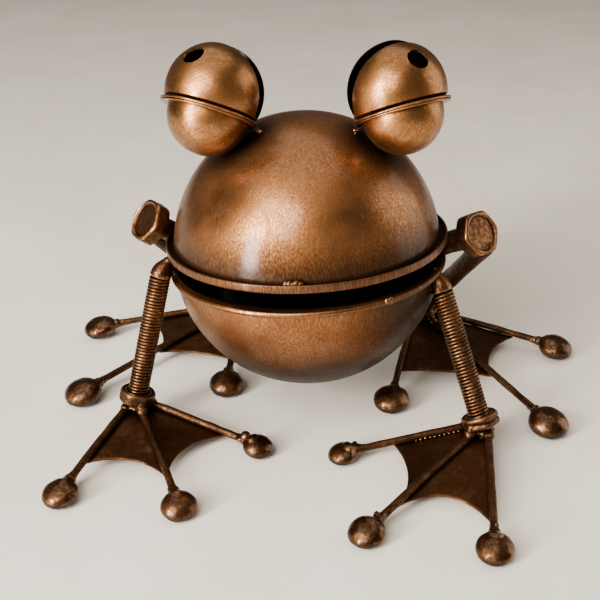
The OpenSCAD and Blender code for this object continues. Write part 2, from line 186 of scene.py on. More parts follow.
def field(points, size, seed):
    """Smooth lattice noise from -1 to 1 with features of this size."""
    p = np.asarray(points, float) / size + seed * 7.31
    cell = np.floor(p)
    f = p - cell
    u = f * f * (3 - 2 * f)
    total = np.zeros(len(p))
    for corner in product((0, 1), repeat=3):
        c = np.array(corner)
        h = np.sin((cell + c) @ SCATTER + seed) * SCATTER_BY
        value = 2 * (h - np.floor(h)) - 1
        total += value * np.prod(np.where(c == 1, u, 1 - u), axis=1)
    return total


def wobble(points, amount, size, seed):
    """Moves points by a smooth vector field, as hand work does."""
    points = np.asarray(points, float)
    return points + amount * np.stack([field(points, size, seed + k) for k in (1, 2, 3)], axis=1)


# ---------------------------------------------------------------- meshes
def skin(rings, closed=False):
    """Joins rings of equal size; a ring of one point is a pole."""
    verts, index, faces = [], [], []
    for ring in rings:
        index.append(np.arange(len(verts), len(verts) + len(ring)))
        verts.extend(np.asarray(ring, float))
    for a, b in zip(index, index[1:] + (index[:1] if closed else [])):
        n = max(len(a), len(b))
        if n == 1:
            continue
        for k in range(n):
            k2 = (k + 1) % n
            if len(a) == 1:
                faces.append((a[0], b[k], b[k2]))
            elif len(b) == 1:
                faces.append((a[k2], a[k], b[0]))
            else:
                faces.append((a[k], b[k], b[k2], a[k2]))
    return np.array(verts), faces


def lathe_rings(profile, steps, scale_at=lambda t, share: 1.0):
    """One ring for each (radius, height, share) row; scale_at(angles, share) shapes it."""
    t = np.arange(steps) * 2 * math.pi / steps
    rings = []
    for radius, z, share in profile:
        if radius < 1e-6:
            rings.append(np.array([[0, 0, z]]))
            continue
        r = radius * scale_at(t, share)
        rings.append(np.stack([r * np.cos(t), r * np.sin(t), np.full(steps, float(z))], axis=1))
    return rings


def lathe(profile, steps):
    """Turns a profile of (radius, height) round Z."""
    return skin(lathe_rings([(r, z, 1) for r, z in profile], steps))


def arc(cx, cy, r, start, end, steps):
    t = np.radians(np.linspace(start, end, steps + 1))
    return [(cx + r * math.cos(a), cy + r * math.sin(a)) for a in t]


def pole_ends(profile):
    """A profile whose two ends lie on the axis."""
    return [(0.0, z) if i in (0, len(profile) - 1) else (r, z)
            for i, (r, z) in enumerate(profile)]


def curve_frames(path):
    """A tangent and two normals at each point of a path, turning as little as they can."""
    tangent = np.gradient(path, axis=0)
    tangent /= np.linalg.norm(tangent, axis=1)[:, None]
    n = np.cross(tangent[0], (0.3, 0.2, 0.93))
    normals = []
    for t in tangent:
        n = unit(n - t * (n @ t))
        normals.append(n)
    normals = np.array(normals)
    return tangent, normals, np.cross(tangent, normals)


def tube(path, radius, sides=20, round_ends=(True, True)):
    """A round bar along a path, with domed or flat ends."""
    path = np.asarray(path, float)
    radius = np.broadcast_to(np.asarray(radius, float), (len(path),))
    tangent, n, b = curve_frames(path)
    t = np.arange(sides) * 2 * math.pi / sides

    def ring(p, r, k):
        return p + r * (np.cos(t)[:, None] * n[k] + np.sin(t)[:, None] * b[k])

    rings = [ring(path[k], radius[k], k) for k in range(len(path))]
    for end, k, way in ((0, 0, -1), (1, -1, 1)):
        p, r, w = path[k], radius[k], way * tangent[k]
        bulge = 1.0 if round_ends[end] else 0.12
        cap = [ring(p + w * r * bulge * math.sin(a), r * math.cos(a), k)
               for a in np.radians([22, 45, 67])] + [(p + w * r * bulge)[None, :]]
        rings = cap[::-1] + rings if end == 0 else rings + cap
    return skin(rings)


def ball(centre, radii, m=None, across=32, up=20):
    """An ellipsoid; m turns it about its own centre."""
    angles = [math.radians(a) for a in np.linspace(-90, 90, up + 1)]
    verts, faces = lathe([(math.cos(a), math.sin(a)) for a in angles], across)
    verts = verts * np.asarray(radii, float)
    if m is not None:
        verts = verts @ m[:3, :3].T
    return verts + np.asarray(centre, float), faces


def joined(parts):
    verts, faces, base = [], [], 0
    for v, f in parts:
        verts.append(np.asarray(v, float))
        faces.extend(tuple(int(i) + base for i in face) for face in f)
        base += len(v)
    return np.concatenate(verts), faces


def edge_array(mesh):
    edges = np.empty(len(mesh.edges) * 2, np.int64)
    mesh.edges.foreach_get("vertices", edges)
    return edges.reshape(-1, 2)


def coordinates(mesh):
    co = np.empty(len(mesh.vertices) * 3)
    mesh.vertices.foreach_get("co", co)
    return co.reshape(-1, 3)


def normals(mesh):
    normal = np.empty(len(mesh.vertices) * 3)
    mesh.vertices.foreach_get("normal", normal)
    return normal.reshape(-1, 3)


def move_points(mesh, co):
    mesh.vertices.foreach_set("co", co.ravel())
    mesh.update()


def as_solid(mesh):
    """The points in millimetres and the faces of a mesh."""
    return coordinates(mesh) / MM, [tuple(p.vertices) for p in mesh.polygons]


def neighbour_mean(co, edges):
    total, count = np.zeros_like(co), np.zeros(len(co))
    for a, b in ((0, 1), (1, 0)):
        np.add.at(total, edges[:, a], co[edges[:, b]])
        np.add.at(count, edges[:, a], 1)
    return total / np.maximum(count, 1)[:, None]


def raw_mesh(name, verts, faces):
    mesh = bpy.data.meshes.new(name)
    whole = [tuple(int(i) for i in face) for face in faces]
    mesh.from_pydata((np.asarray(verts) * MM).tolist(), [], whole)
    tidy = bmesh.new()
    tidy.from_mesh(mesh)
    bmesh.ops.recalc_face_normals(tidy, faces=tidy.faces)
    tidy.to_mesh(mesh)
    tidy.free()
    return mesh


def applied(mesh, add_modifiers):
    """The mesh with modifiers applied."""
    obj = bpy.data.objects.new("work", mesh)
    bpy.context.scene.collection.objects.link(obj)
    add_modifiers(obj)
    bpy.context.view_layer.update()
    graph = bpy.context.evaluated_depsgraph_get()
    result = bpy.data.meshes.new_from_object(obj.evaluated_get(graph))
    bpy.data.objects.remove(obj)
    return result


def fused(parts, voxel, rounds, lumps, lump_size, seed):
    """One skin round overlapping solids, softened and lumpy as weld metal is."""
    mesh = raw_mesh("fused", *joined(parts))

    def remesh(obj):
        m = obj.modifiers.new("remesh", "REMESH")
        m.mode = "VOXEL"
        m.voxel_size = voxel * MM

    mesh = applied(mesh, remesh)
    co, edges = coordinates(mesh) / MM, edge_array(mesh)
    for _ in range(rounds):
        for step in SOFTEN:
            co = co + step * (neighbour_mean(co, edges) - co)
    move_points(mesh, co * MM)
    move_points(mesh, (co + normals(mesh) * (lumps * field(co, lump_size, seed))[:, None]) * MM)
    return mesh


def paint_wear(mesh, scale):
    """Stores how sharply each point stands out, for bright edges and dark corners."""
    co, edges = coordinates(mesh) / MM, edge_array(mesh)
    length = np.linalg.norm(co[edges[:, 0]] - co[edges[:, 1]], axis=1)
    total, count = np.zeros(len(co)), np.zeros(len(co))
    for a in (0, 1):
        np.add.at(total, edges[:, a], length)
        np.add.at(count, edges[:, a], 1)
    mean = total / np.maximum(count, 1)
    stand = ((co - neighbour_mean(co, edges)) * normals(mesh)).sum(axis=1)
    bend = 2 * stand / np.maximum(mean, FINEST) ** 2
    wear = np.clip(bend * scale, -1, 1)
    for _ in range(2):
        wear = 0.5 * wear + 0.5 * neighbour_mean(wear[:, None].repeat(3, 1), edges)[:, 0]
    store(mesh, "wear", wear)


def store(mesh, name, values):
    values = np.asarray(values, np.float32)
    kind, key = ("FLOAT", "value") if values.ndim == 1 else ("FLOAT_VECTOR", "vector")
    attribute = mesh.attributes.get(name) or mesh.attributes.new(name, kind, "POINT")
    attribute.data.foreach_set(key, values.ravel())


def piece(name, mesh, body, material, replaces=(), brush=None, sharp=50, wear=0.7,
          painted_shade=None):
    """A finished piece: smooth shading, wear and brush directions, painted shade, finish and body.
    """
    mesh.name = name
    mesh.materials.clear()
    mesh.materials.append(material)
    mesh.shade_smooth()
    mesh.set_sharp_from_angle(angle=math.radians(sharp))
    paint_wear(mesh, wear)
    co = coordinates(mesh) / MM
    store(mesh, "brush", co if brush is None else brush(co))
    # painted shade, stored as a mask that the finish reads
    if painted_shade is not None:
        store(mesh, "painted_shade", painted_shade(co))
    obj = bpy.data.objects.new(name + "_form", mesh)
    bpy.context.scene.collection.objects.link(obj)
    if isinstance(body, str):
        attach(obj, body)
    if replaces:
        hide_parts(*replaces)
    return obj


# ---------------------------------------------------------------- finishes
# near black: the colour of painted shade, inside the shells and bells and where the painted shade
# is full outside
SHADE_BLACK = (0.006, 0.003, 0.002, 1.0)


class Nodes:
    """Short hand for making a node tree."""

    def __init__(self, material):
        self.tree = material.node_tree
        self.tree.nodes.clear()

    def make(self, kind, inputs=None, **settings):
        n = self.tree.nodes.new(kind)
        for key, value in settings.items():
            setattr(n, key, value)
        for key, value in (inputs or {}).items():
            if hasattr(value, "is_output"):
                self.tree.links.new(value, n.inputs[key])
            else:
                n.inputs[key].default_value = value
        return n

    def maths(self, operation, a, b=0.0, clamp=False):
        n = self.make("ShaderNodeMath", {0: a, 1: b}, operation=operation)
        n.use_clamp = clamp
        return n.outputs[0]

    def span(self, value, low, high, to_low=0.0, to_high=1.0):
        n = self.make("ShaderNodeMapRange",
                      {"Value": value, "From Min": low, "From Max": high,
                       "To Min": to_low, "To Max": to_high})
        n.interpolation_type = "SMOOTHSTEP"
        return n.outputs[0]

    def noise(self, vector, scale, detail=4.0, rough=0.55):
        return self.make("ShaderNodeTexNoise",
                         {"Vector": vector, "Scale": scale, "Detail": detail,
                          "Roughness": rough}).outputs["Fac"]

    def stretched(self, vector, scale):
        return self.make("ShaderNodeVectorMath", {0: vector, 1: scale},
                         operation="MULTIPLY").outputs[0]

    def mix(self, share, a, b):
        n = self.make("ShaderNodeMix", data_type="RGBA", clamp_factor=True)
        # sockets 0, 6 and 7 are the share and the two colours
        for socket, value in ((n.inputs[0], share), (n.inputs[6], a), (n.inputs[7], b)):
            if hasattr(value, "is_output"):
                self.tree.links.new(value, socket)
            else:
                socket.default_value = value
        return n.outputs[2]


def colour(r, g, b):
    return (r, g, b, 1.0)


def dimmed(tint, share):
    return tuple(share * c for c in tint[:3]) + (1.0,)


ROUGH_MORE, SCRATCH, PITS, SPECK = 0.16, 0.25, 0.4, 0.25


def bronze(name, dark, mid, light, grain=(0.9, 0.9, 0.035), streaks=0.5, patches=0.45,
           edge=0.6, crevice=0.8, rough=0.4, coat=0.25, coat_rough=0.28, lumps=0.3,
           wide_share=0.38, occlusion_shade_reach=0.005):
    """Antiqued bronze: a dark base, brushed-on copper in streaks, bright worn edges, and painted
    shade from ambient occlusion and from a stored mask.
    """
    m = bpy.data.materials.new(name)
    m.use_nodes = True
    n = Nodes(m)
    place = n.make("ShaderNodeTexCoord").outputs["Object"]
    brush = n.make("ShaderNodeAttribute", attribute_name="brush").outputs["Vector"]
    wear = n.make("ShaderNodeAttribute", attribute_name="wear").outputs["Fac"]

    fine = n.noise(n.stretched(brush, grain), 1.6, 5.0, 0.65)
    wide = n.noise(n.stretched(brush, tuple(0.35 * g for g in grain)), 1.0, 3.0, 0.5)
    cloud = n.noise(place, 38.0, 4.0, 0.55)
    # ambient occlusion, for painted shade in recesses and next to other parts
    hollow = n.make("ShaderNodeAmbientOcclusion", {"Distance": occlusion_shade_reach},
                    samples=8).outputs["AO"]
    # painted shade, stored on each piece as a mask from 0 to 1
    painted_shade = n.make("ShaderNodeAttribute", attribute_name="painted_shade").outputs["Fac"]
    grainy = n.noise(place, 900.0, 3.0, 0.6)
    spot = n.noise(place, 260.0, 2.0, 0.5)

    streak = n.maths("ADD", n.maths("MULTIPLY", fine, 1 - wide_share),
                     n.maths("MULTIPLY", wide, wide_share))
    body = n.mix(n.span(cloud, 0.5 - patches, 0.5 + patches), dark, mid)
    body = n.mix(n.maths("MULTIPLY", n.span(streak, 0.44, 0.66), streaks), body, light)
    body = n.mix(n.maths("MULTIPLY", n.span(streak, 0.50, 0.34), 0.45 * streaks), body, dark)
    body = n.mix(n.maths("MULTIPLY", n.span(grainy, 0.55, 0.75), SPECK), body, light)
    body = n.mix(n.maths("MULTIPLY", n.span(spot, 0.66, 0.74), 0.5 * SPECK), body,
                 dimmed(dark, 0.35))
    worn = n.maths("MULTIPLY", wear, n.span(streak, 0.25, 0.55, 0.55, 1.0))
    body = n.mix(n.span(worn, 0.12, 0.75, 0.0, edge), body, light)
    body = n.mix(n.span(wear, -0.05, -0.5, 0.0, crevice), body, dimmed(dark, 0.25))
    # painted shade: darker where ambient occlusion finds nearby surfaces
    body = n.mix(n.span(hollow, 0.75, 0.2, 0.0, 0.88), body, dimmed(dark, 0.22))
    # painted shade: the stored mask darkens the colour to near black
    body = n.mix(painted_shade, body, SHADE_BLACK)

    shine = n.span(streak, 0.3, 0.7, rough + ROUGH_MORE, rough - 0.5 * ROUGH_MORE)
    shine = n.maths("ADD", shine, n.span(cloud, 0.35, 0.65, -0.04, 0.05))
    shine = n.maths("SUBTRACT", shine, n.span(wear, 0.1, 0.7, 0.0, 0.10))
    shine = n.maths("ADD", shine, n.maths("MULTIPLY", painted_shade, 0.4), clamp=True)

    height = n.maths("ADD", n.maths("MULTIPLY", fine, SCRATCH),
                     n.maths("MULTIPLY", n.noise(place, 150.0, 3.0, 0.5), lumps))
    height = n.maths("ADD", height, n.maths("MULTIPLY", n.span(spot, 0.6, 0.75), -PITS))
    bump = n.make("ShaderNodeBump", {"Strength": 0.55, "Distance": 0.00022, "Height": height})
    shader = n.make("ShaderNodeBsdfPrincipled",
                    {"Base Color": body, "Metallic": 1.0, "Roughness": shine,
                     "Coat Weight": coat, "Coat Roughness": coat_rough,
                     "Normal": bump.outputs[0]})
    n.make("ShaderNodeOutputMaterial", {"Surface": shader.outputs[0]})
    return m


# the head's occlusion reaches far, for painted shade round the bells
HEAD = bronze("head_bronze", colour(0.115, 0.035, 0.010), colour(0.29, 0.103, 0.028),
              colour(0.62, 0.33, 0.13), grain=(1.3, 1.3, 0.022), streaks=0.5, patches=0.6,
              wide_share=0.15, rough=0.34, coat=0.34, coat_rough=0.17, occlusion_shade_reach=0.014)
JAW = bronze("jaw_bronze", colour(0.125, 0.040, 0.012), colour(0.30, 0.112, 0.034),
             colour(0.60, 0.33, 0.15), grain=(1.3, 1.3, 0.022), streaks=0.4, patches=0.6,
             wide_share=0.15, rough=0.3, coat=0.12, coat_rough=0.2)
EYE = bronze("eye_copper", colour(0.130, 0.042, 0.010), colour(0.32, 0.125, 0.036),
             colour(0.68, 0.38, 0.15), grain=(1.5, 1.5, 0.10), streaks=0.5, rough=0.31,
             wide_share=0.2, coat=0.2, coat_rough=0.2, crevice=0.3, occlusion_shade_reach=0.002)
COIL = bronze("spring_bronze", colour(0.034, 0.011, 0.004), colour(0.105, 0.040, 0.014),
              colour(0.40, 0.205, 0.085), grain=(0.5, 0.5, 0.5), edge=0.7, rough=0.36, coat=0.1)
BOLT = bronze("bolt_bronze", colour(0.034, 0.011, 0.004), colour(0.11, 0.040, 0.014),
              colour(0.44, 0.22, 0.09), grain=(0.5, 0.5, 0.4), edge=0.9, rough=0.38, lumps=0.5,
              coat=0.1)
NUT = bronze("nut_bronze", colour(0.024, 0.008, 0.004), colour(0.058, 0.022, 0.008),
             colour(0.26, 0.13, 0.056), grain=(0.5, 0.5, 0.4), edge=0.8, rough=0.42, lumps=0.6,
             coat=0.08)
ROD = bronze("rod_bronze", colour(0.024, 0.008, 0.004), colour(0.068, 0.026, 0.010),
             colour(0.21, 0.105, 0.043), grain=(0.5, 0.5, 0.4), edge=0.5, rough=0.52, lumps=0.6,
             coat=0.04)
PAD = bronze("pad_bronze", colour(0.027, 0.009, 0.004), colour(0.092, 0.035, 0.012),
             colour(0.34, 0.17, 0.07), grain=(0.5, 0.5, 0.4), edge=0.5, rough=0.34, lumps=0.6,
             coat=0.3, coat_rough=0.12)
WEB = bronze("web_bronze", colour(0.034, 0.012, 0.004), colour(0.076, 0.029, 0.010),
             colour(0.21, 0.10, 0.040), grain=(0.16, 0.16, 0.16), streaks=0.4, edge=0.8,
             rough=0.44, lumps=0.5, coat=0.05)
STEEL = bronze("clapper_steel", colour(0.030, 0.022, 0.017), colour(0.06, 0.045, 0.033),
               colour(0.14, 0.10, 0.07), grain=(0.5, 0.5, 0.5), rough=0.45)


# ---------------------------------------------------------------- ball
head_place = shift(BALL_AT) @ turn("Z", HEAD_TURN) @ turn("Y", -HEAD_ROLL) @ turn("X", -HEAD_TILT)


def meridian_brush(place):
    """Strokes from the pole to the rim."""
    back = np.linalg.inv(place)

    def brush(co):
        local = placed(co, back)
        angle = np.arctan2(local[:, 1], local[:, 0])
        reach = np.linalg.norm(local, axis=1)
        drop = np.arccos(np.clip(local[:, 2] / np.maximum(reach, 1e-6), -1, 1))
        around = BALL_R * np.maximum(np.sin(drop), 0.12)
        return np.stack([around * np.cos(angle), around * np.sin(angle), BALL_R * drop], axis=1)

    return brush


def cross_brush(place):
    """Strokes that run round a bell, aslant to its axis."""
    back = np.linalg.inv(place @ turn("Y", 50) @ turn("X", 25))
    return lambda co: placed(co, back)


def eye_place(bell):
    return (shift(BALL_AT) @ turn("Z", HEAD_TURN) @ shift(bell["at"])
            @ turn("Y", -bell["side"] * bell["tip"]) @ turn("X", -bell["lean"]))


# where the painted shade starts and where it is full, in millimetres
BELL_SHADE = (40.0, 23.0)  # from a bell's centre, on the ball
UNDER_BELL_SHADE = (9.0, 1.5)  # from the ball, under a bell
SLOT_WALL_SHADE = (1.5, 0.7)  # from the far wall of a bell's slot
PAD_UNDERSIDE_SHADE = (1.6, -2.2)  # above the middle of a pad
JAW_SIDE_SHADE = 46.0  # left of the middle, on the jaw: starts at 0
LIP_LESS_SHADE = (LIP_R - 2.4, LIP_R - 1.0)  # from the axis, where the proud lip gets less painted shade


def shell_painted_shade(place, share, start, end, side_shade):
    """Painted shade on a shell: black inside, where the closed ball is in shade, and outside darker
    by the height, to the left, and near the bells."""
    back = np.linalg.inv(place)

    def painted_shade(co):
        local = placed(co, back)
        # inside the ball: painted black as shade
        inner = np.linalg.norm(local - (0, 0, DOME_LIFT), axis=1) < DOME_R - 0.3
        # painted shade outside: darker by the height and to the left
        shade = np.maximum(share * smooth(local[:, 2], start, end),
                           side_shade * smooth(local[:, 0], 0.0, JAW_SIDE_SHADE))
        # less painted shade on the proud lip
        lip = smooth(np.hypot(local[:, 0], local[:, 1]), *LIP_LESS_SHADE)
        shade = shade * (1 - 0.35 * lip)
        # painted shadow of the bells on the ball
        for bell in BELLS.values():
            from_bell = np.linalg.norm(co - eye_place(bell)[:3, 3], axis=1)
            shade = np.maximum(shade, 0.72 * smooth(from_bell, *BELL_SHADE))
        return np.where(inner, 1.0, shade)

    return painted_shade


def within(centre, radius):
    """Marks the inside of a bell, which is painted black as shade."""
    return lambda co: (np.linalg.norm(co - centre, axis=1) < radius).astype(float)


def head_profile():
    foot = math.degrees(math.asin((MOUTH_HALF + SHEET - DOME_LIFT) / DOME_R))
    inner = math.degrees(math.asin((MOUTH_HALF - DOME_LIFT) / (DOME_R - SHEET)))
    return (arc(0, DOME_LIFT, DOME_R, 90, foot + 0.6, 70)
            + arc(LIP_R - SHEET - 1.0, MOUTH_HALF + SHEET + 0.55, 0.55, 200, 340, 6)
            + arc(LIP_R - SHEET / 2, MOUTH_HALF + LIP_H - SHEET / 2, SHEET / 2, 180, 0, 8)
            + arc(LIP_R - SHEET, MOUTH_HALF + SHEET, SHEET, 0, -90, 8)
            + arc(0, DOME_LIFT, DOME_R - SHEET, inner, 90, 60))


def jaw_profile():
    foot = math.degrees(math.asin((MOUTH_HALF + 3 - DOME_LIFT) / BALL_R))
    return (arc(0, DOME_LIFT, BALL_R, 90, foot, 70)
            + arc(BALL_R + JAW_BEAD - 1.5, MOUTH_HALF + 1.5, 1.5, 90, -90, 12)
            + [(BALL_R - 1.4, MOUTH_HALF), (BALL_R - 1.6, MOUTH_HALF + 1.2),
               (BALL_R - 2.4, MOUTH_HALF + 1.2), (BALL_R - 2.6, MOUTH_HALF)]
            + arc(BALL_R - 3.1, MOUTH_HALF + 0.5, 0.5, -90, -180, 3)
            + arc(0, DOME_LIFT, BALL_R - SHEET, 9, 90, 60))


def shell(name, profile, place, material, seed, share, start, end, side_shade):
    """A spun half of the ball, with the small unevenness of hand-beaten sheet, and its painted
    shade.
    """
    verts, faces = lathe(pole_ends(profile), SHELL_STEPS)
    verts = wobble(verts, *SHELL_WOBBLE, seed)
    mesh = raw_mesh(name, placed(verts, place), faces)
    piece(name, mesh, "frog", material, [name], meridian_brush(place),
          painted_shade=shell_painted_shade(place, share, start, end, side_shade))


# painted shade: the head darker towards the lip; the jaw darker at the bottom and to the left
shell("head_shell", head_profile(), head_place, HEAD, 3, 0.82, 34.0, 8.0, 0.0)
shell("jaw_shell", jaw_profile(), head_place @ np.diag([1.0, 1.0, -1.0, 1.0]), JAW, 5,
      0.92, 14.0, 46.0, 0.86)


# ---------------------------------------------------------------- eyes
def bell_upper_profile():
    seam = BELL_LOW_R + 0.5
    low = -math.degrees(math.asin((BELL_UP - FLANGE_T) / BELL_R)) + 4
    inner = -math.degrees(math.asin(BELL_UP / BELL_R)) + 4
    return (arc(0, BELL_UP, BELL_R, 90, low, 60) + [(seam, FLANGE_T)]
            + arc(BELL_RIM_R - FLANGE_T / 2, FLANGE_T / 2, FLANGE_T / 2, 90, -90, 8)
            + [(seam - BELL_T, 0)] + arc(0, BELL_UP, BELL_R - BELL_T, inner, 90, 50))


def bell_lower_profile():
    return (arc(0, -BELL_DOWN, BELL_LOW_R, -90, 0, 45) + [(BELL_LOW_R + 0.1, -0.85)]
            + arc(BELL_RIM_R - 0.8, -0.45, 0.4, -90, 90, 6)
            + [(BELL_LOW_R - BELL_T, -0.05)] + arc(0, -BELL_DOWN, BELL_LOW_R - BELL_T, 0, -90, 40))


def box_solid(low, high):
    (x0, y0, z0), (x1, y1, z1) = low, high
    verts = [(x, y, z) for x in (x0, x1) for y in (y0, y1) for z in (z0, z1)]
    faces = [(0, 1, 3, 2), (4, 6, 7, 5), (0, 4, 5, 1), (2, 3, 7, 6), (0, 2, 6, 4), (1, 5, 7, 3)]
    return np.array(verts, float), faces


def cut(mesh, *cutters):
    def booleans(obj):
        for k, (verts, faces) in enumerate(cutters):
            tool = bpy.data.objects.new(f"cutter_{k}", raw_mesh(f"cutter_{k}", verts, faces))
            bpy.context.scene.collection.objects.link(tool)
            tools.append(tool)
            m = obj.modifiers.new(f"cut_{k}", "BOOLEAN")
            m.operation, m.solver, m.object = "DIFFERENCE", "EXACT", tool

    tools = []
    result = applied(mesh, booleans)
    for tool in tools:
        bpy.data.objects.remove(tool)
    return result


def bell_pieces(name, bell):
    side, place = bell["side"], eye_place(bell)
    tilt, way, off = bell["slot"]
    slot_place = (shift((0, 0, BELL_UP)) @ turn("Z", 180 - way if side > 0 else way)
                  @ turn("Y", tilt))
    slot_v, slot_f = box_solid((-60, -60, off), (60, 60, off + BELL_SLOT))
    hole_tilt, hole_way = bell["hole"]
    hole_place = (shift((0, 0, BELL_UP)) @ turn("Z", hole_way - 180 if side > 0 else -hole_way)
                  @ turn("Y", hole_tilt))
    hole = lathe([(0, 8), (HOLE_D / 2, 8), (HOLE_D / 2, 40), (0, 40)], 64)
    upper = raw_mesh("upper", *lathe(pole_ends(bell_upper_profile()), BELL_STEPS))
    # the slot runs from above the seam to just past the crown, so its cutter loses the rest
    cutter = cut(raw_mesh("slot", placed(slot_v, slot_place), slot_f),
                 box_solid((-90, -90, -90), (90, 90, SLOT_FLOOR)),
                 box_solid((-91, SLOT_BACK, -91), (91, 91, 91)))
    upper = cut(upper, as_solid(cutter), (placed(hole[0], hole_place), hole[1]))
    co = wobble(coordinates(upper) / MM, *BELL_WOBBLE, 11 + side)
    move_points(upper, placed(co, place) * MM)
    # the inside of the upper bell is painted black as shade
    inner = within(placed_point((0, 0, BELL_UP), place), BELL_R - BELL_T / 2)
    from_wall = np.linalg.inv(place @ slot_place @ shift((0, 0, off + BELL_SLOT)))
    from_bell = np.linalg.inv(place)

    # painted shade: black inside the bell and on the far wall of the slot
    def slot_painted_shade(co):
        near = smooth(np.abs(placed(co, from_wall)[:, 2]), *SLOT_WALL_SHADE)
        local = placed(co, from_bell)
        cut_here = (local[:, 1] < SLOT_BACK + 0.5) & (local[:, 2] > SLOT_FLOOR - 0.5)
        return np.maximum(inner(co), near * cut_here)

    piece(f"{name}_eye_upper", upper, "frog", EYE, [f"{name}_eye_upper"],
          cross_brush(place @ shift((0, 0, BELL_UP))), sharp=35, wear=0.4, painted_shade=slot_painted_shade)
    lower_v, lower_f = lathe(pole_ends(bell_lower_profile()), BELL_STEPS)
    lower_v = wobble(lower_v, *BELL_WOBBLE, 15 + side)
    # painted shade: the inside of the lower bell black
    inside_shade = within(placed_point((0, 0, -BELL_DOWN), place), BELL_LOW_R - BELL_T / 2)
    ball_middle = BALL_AT + np.array([0, 0, DOME_LIFT])

    # painted shade: darker underneath, where the bell faces the ball
    def under_painted_shade(co):
        from_ball = np.linalg.norm(co - ball_middle, axis=1) - DOME_R
        return np.maximum(inside_shade(co), 0.7 * smooth(from_ball, *UNDER_BELL_SHADE))

    piece(f"{name}_eye_lower", raw_mesh("lower", placed(lower_v, place), lower_f), "frog",
          EYE, [f"{name}_eye_lower"],
          cross_brush(place @ shift((0, 0, -BELL_DOWN))), sharp=35, wear=0.4,
          painted_shade=under_painted_shade)
    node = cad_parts[f"{name}_eye_clapper"]
    node.data.materials.clear()
    node.data.materials.append(STEEL)
    tab(name, side)


def tab(name, side):
    """A folded strip from the head up to the underside of the seam flange."""
    turned = shift(BALL_AT) @ turn("Z", HEAD_TURN)
    way = unit((side * TAB_WAY[0], TAB_WAY[1], TAB_WAY[2]))
    foot = np.array([0, 0, DOME_LIFT]) + way * (DOME_R - 0.5)
    across = unit(np.cross(way, (0, 0, 1.0)))
    reach = TAB_REACH[name]
    lines = []
    for k in np.linspace(-1, 1, 5):
        a = foot + across * TAB_HALF * k
        b = a + way * reach
        path = [a, a * 0.5 + b * 0.5, b, b + unit((-side * 0.9, -0.5, -0.35)) * 1.6]
        lines.append(tube([placed_point(p, turned) for p in path], TAB_WIRE, 12))
    mesh = fused(lines, 0.22, 3, 0.08, 1.0, 61 + side)
    piece(f"{name}_eye_tab", mesh, "frog", EYE, [f"{name}_eye_tab"], wear=0.5)


for bell_name, bell in BELLS.items():
    bell_pieces(bell_name, bell)


# ---------------------------------------------------------------- springs and shoulders
def at_foot(p):
    return np.asarray(p, float) + FOOT_POINT


def leg_line(name):
    """From the top of a front leg's spring to its ankle."""
    return np.subtract(FEET["front_" + name]["ankle"], SPRING_TOP[name])


def leg_way(name):
    return unit(leg_line(name))


def coil(name):
    """A front leg's close-wound spring, between the frog and the foot."""
    top, way = at_foot(SPRING_TOP[name]), leg_way(name)
    length = np.linalg.norm(leg_line(name))
    length += NUT_H / 2 - SEAT_GAP
    wire = WIRE_D / 2 - WIRE_SLACK
    pitch = WIRE_D + COIL_GAP
    turns = (length - WIRE_D) / pitch
    t = np.linspace(0, turns, int(turns * COIL_STEPS))
    radius = SPRING_D / 2 - wire
    local = np.stack([radius * np.cos(2 * math.pi * t), radius * np.sin(2 * math.pi * t),
                      WIRE_D / 2 + pitch * t], axis=1)
    place = along(top, way)
    verts, faces = tube(placed(local, place), wire, 10)
    mesh = raw_mesh("coil", verts, faces)
    obj = piece(f"front_{name}_spring", mesh, None, COIL,
                [f"front_{name}_spring"], wear=0.25)
    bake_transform(obj)


def outside_ball(verts):
    """Points that reach into the ball are brought out to its skin."""
    away = verts - BALL_AT
    reach = np.linalg.norm(away, axis=1)[:, None]
    return np.where(reach < DOME_R, BALL_AT + away * DOME_R / reach, verts)


def shoulder(name, side):
    """A sleeve of weld that narrows from the coil up to the lip, with a little spatter."""
    top, way = at_foot(SPRING_TOP[name]), leg_way(name)
    s = np.linspace(0, 1, 18)[:, None]
    inward = unit([BALL_AT[0] - top[0], BALL_AT[1] - top[1], 0])
    path = top - way * SLEEVE[name] * (1 - s) + inward * SLEEVE_LEAN * (1 - s) ** 1.6
    width = SLEEVE_R[0] + SLEEVE_R[1] * np.sin(0.5 * math.pi * s[:, 0]) ** 0.9
    parts = [tube(path, width, 28, (True, False)),
             tube(np.linspace(top, top + way * 7, 6), 3.4, 20, (False, True))]
    rng = np.random.default_rng(7 + side)
    for _ in range(SPATTER):
        at = top - way * rng.uniform(0.2, 3.5) + inward * rng.uniform(0, 3.0)
        spread = rng.normal(size=3)
        spread -= way * (spread @ way)
        parts.append(ball(at + unit(spread) * rng.uniform(3.2, 4.3), rng.uniform(0.8, 1.5, 3)))
    mesh = fused([(outside_ball(v), f) for v, f in parts], 0.3, 5, 0.12, 1.6, 21 + side)
    piece(f"front_{name}_shoulder", mesh, "frog", BOLT, [f"front_{name}_shoulder"])


for leg_name, leg_side in (("left", 1), ("right", -1)):
    coil(leg_name)
    shoulder(leg_name, leg_side)


# ---------------------------------------------------------------- bolts, shins and nuts
def corner_radius(across_flats):
    """From the middle of a hexagon to its corners, which are turned off a little."""
    return across_flats / 2 / math.cos(math.pi / 6) - CORNER_CUT


def hexagon(across_flats, corner_r):
    """Scales a circle to a hexagon with softened corners; a share of 1 leaves it round."""
    half = across_flats / 2

    def scale(t, share):
        a = np.mod(t + math.pi / 6, math.pi / 3) - math.pi / 6
        flat = half / np.cos(a)
        both = np.exp(-flat / HEX_SOFT) + np.exp(-corner_r / HEX_SOFT)
        return share + (1 - share) * (-HEX_SOFT * np.log(both) / half)

    return scale


